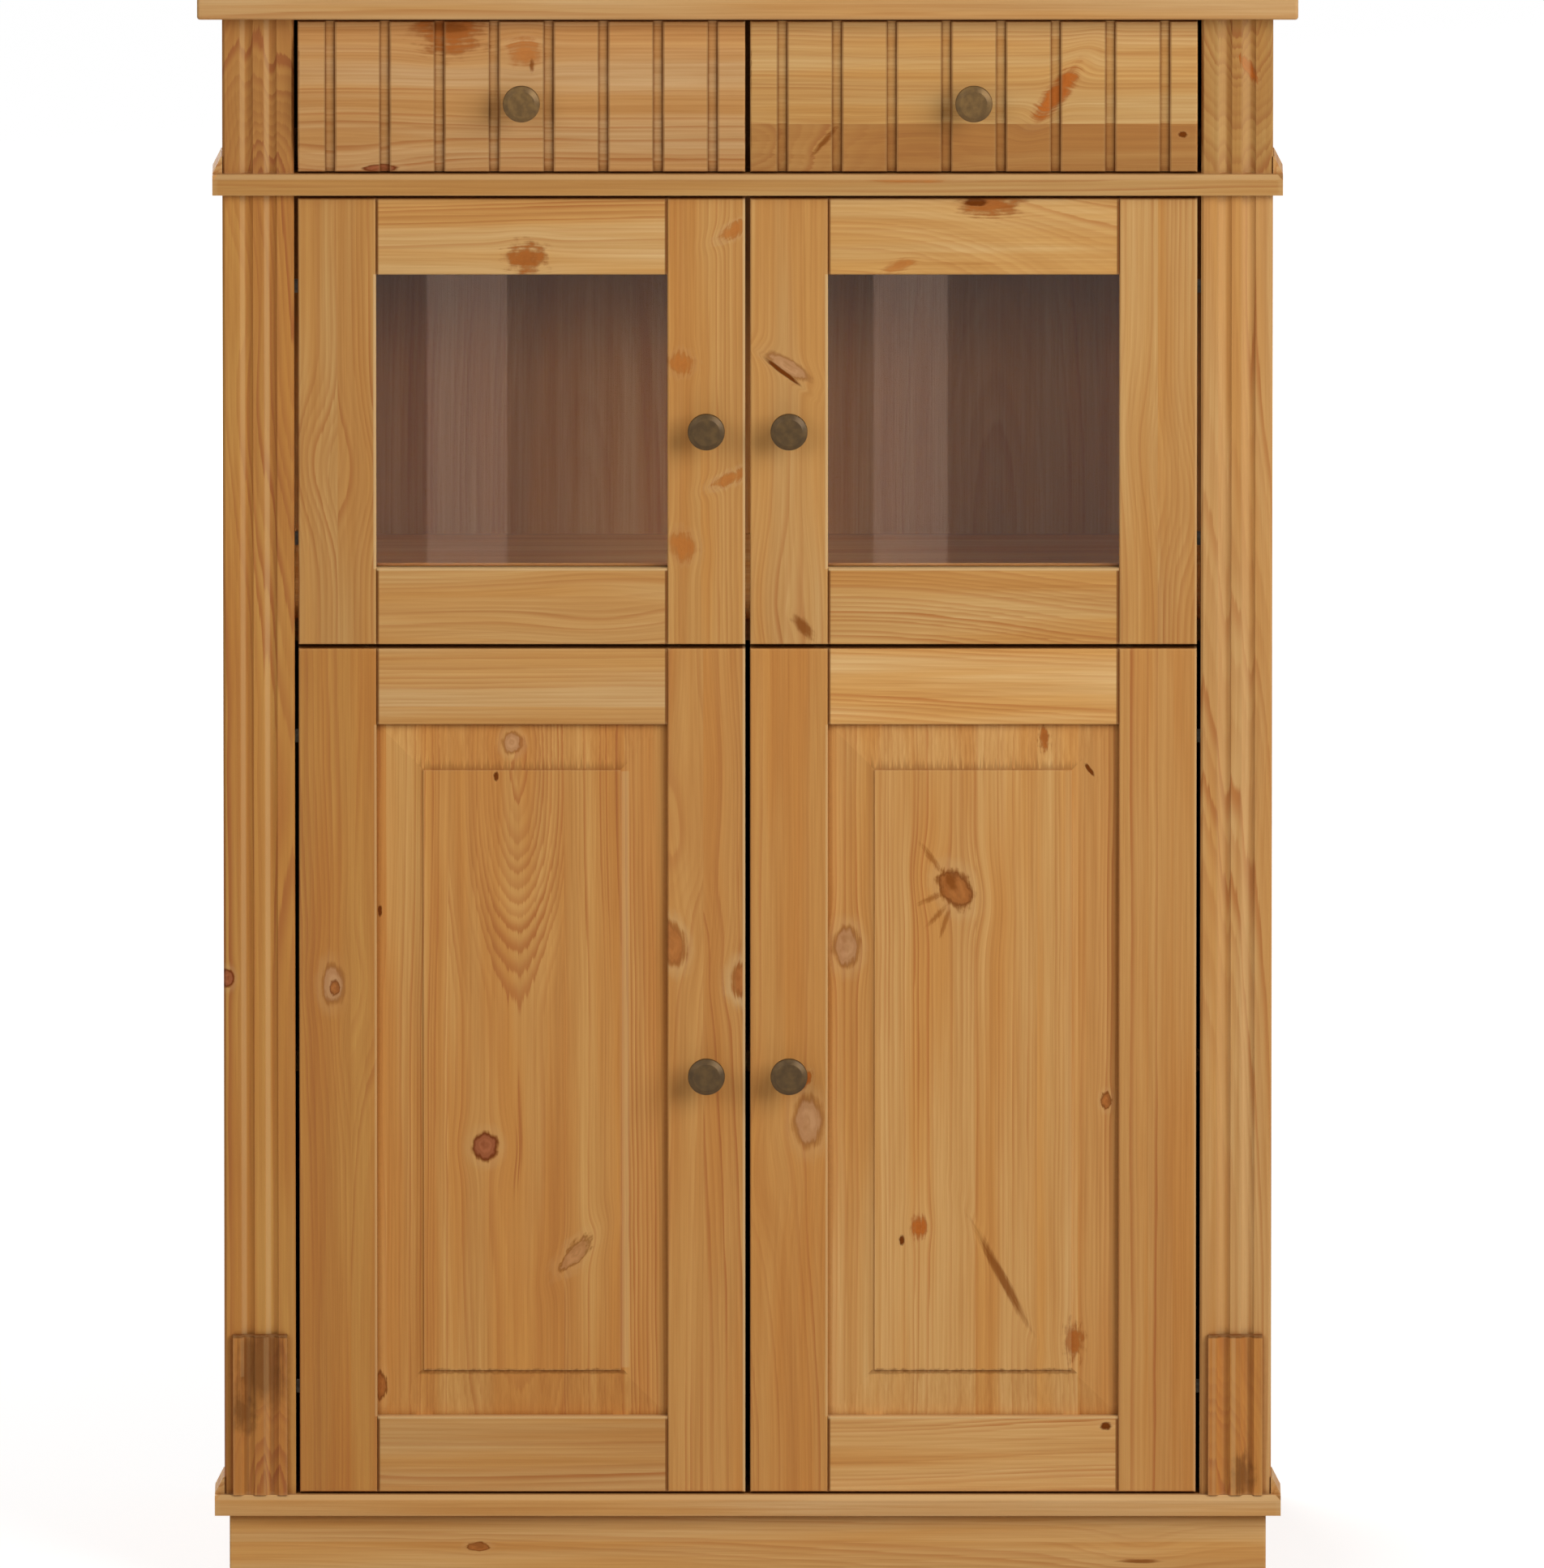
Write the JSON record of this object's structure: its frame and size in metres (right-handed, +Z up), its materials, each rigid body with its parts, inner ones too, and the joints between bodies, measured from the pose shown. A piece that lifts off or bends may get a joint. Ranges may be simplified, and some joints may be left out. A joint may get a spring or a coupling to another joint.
{
  "type": "highboard",
  "caption": "Pine highboard with grooved bowed drawers above glazed doors and raised-panel doors, between fluted corner posts on a plinth.",
  "frame": {"origin": "on the floor under the middle of the whole, knobs included", "axes": "+Z up, front with doors and drawers towards -Y, +X to the right seen from the front"},
  "size_m": [0.89, 0.414, 1.33],
  "materials": {
    "pine": "waxed satin, honey brown",
    "stained_pine": "darker stained satin",
    "board": "thin veneered board, matt",
    "glass": "clear float glass",
    "bronze": "antique bronze, satin",
    "zinc": "zinc plated"
  },
  "bodies": {
    "carcass": {"adjustable_shelf": "pine", "back_panel": "board", "back_panel_screws": "zinc", "base_blocks": "stained_pine", "base_moulding_front": "pine", "bottom_panel": "pine", "drawer_deck": "pine", "drawer_guides": "pine", "drawer_partition": "pine", "fixed_shelf": "pine", "hinge_arms": "zinc", "hinge_pins": "zinc", "hinge_screws": "zinc", "left_lower_post": "pine", "left_side_panel": "pine", "left_upper_post": "pine", "moulding_returns": "pine", "plinth_frame": "pine", "plinth_front": "pine", "right_lower_post": "pine", "right_side_panel": "pine", "right_upper_post": "pine", "shelf_pins": "zinc", "top_board": "pine", "waist_moulding_front": "pine"},
    "left_drawer": {"left_drawer_bottom": "board", "left_drawer_box": "pine", "left_drawer_front": "pine", "left_drawer_knob": "bronze"},
    "lower_left_door": {"lower_left_door_hinge_cups": "zinc", "lower_left_door_inner_stile": "pine", "lower_left_door_knob": "bronze", "lower_left_door_outer_stile": "pine", "lower_left_door_panel": "pine", "lower_left_door_rails": "pine"},
    "lower_right_door": {"lower_right_door_hinge_cups": "zinc", "lower_right_door_inner_stile": "pine", "lower_right_door_knob": "bronze", "lower_right_door_outer_stile": "pine", "lower_right_door_panel": "pine", "lower_right_door_rails": "pine"},
    "right_drawer": {"right_drawer_bottom": "board", "right_drawer_box": "pine", "right_drawer_front": "pine", "right_drawer_knob": "bronze"},
    "upper_left_door": {"upper_left_door_glass": "glass", "upper_left_door_glazing_beads": "pine", "upper_left_door_hinge_cups": "zinc", "upper_left_door_inner_stile": "pine", "upper_left_door_knob": "bronze", "upper_left_door_outer_stile": "pine", "upper_left_door_rails": "pine"},
    "upper_right_door": {"upper_right_door_glass": "glass", "upper_right_door_glazing_beads": "pine", "upper_right_door_hinge_cups": "zinc", "upper_right_door_inner_stile": "pine", "upper_right_door_knob": "bronze", "upper_right_door_outer_stile": "pine", "upper_right_door_rails": "pine"}
  },
  "joints": [
    {"name": "upper_left_door_swing", "type": "hinge", "parent": "carcass", "child": "upper_left_door", "pos_m": [-0.3413, -0.162, 0.97075], "axis": [0, 0, -1], "range_deg": [0, 95]},
    {"name": "upper_right_door_swing", "type": "hinge", "parent": "carcass", "child": "upper_right_door", "pos_m": [0.3413, -0.162, 0.97075], "axis": [0, 0, 1], "range_deg": [0, 95]},
    {"name": "lower_left_door_swing", "type": "hinge", "parent": "carcass", "child": "lower_left_door", "pos_m": [-0.3413, -0.162, 0.433], "axis": [0, 0, -1], "range_deg": [0, 95]},
    {"name": "lower_right_door_swing", "type": "hinge", "parent": "carcass", "child": "lower_right_door", "pos_m": [0.3413, -0.162, 0.433], "axis": [0, 0, 1], "range_deg": [0, 95]},
    {"name": "left_drawer_slide", "type": "slide", "parent": "carcass", "child": "left_drawer", "axis": [0, -1, 0], "range_m": [0, 0.25]},
    {"name": "right_drawer_slide", "type": "slide", "parent": "carcass", "child": "right_drawer", "axis": [0, -1, 0], "range_m": [0, 0.25]}
  ]
}
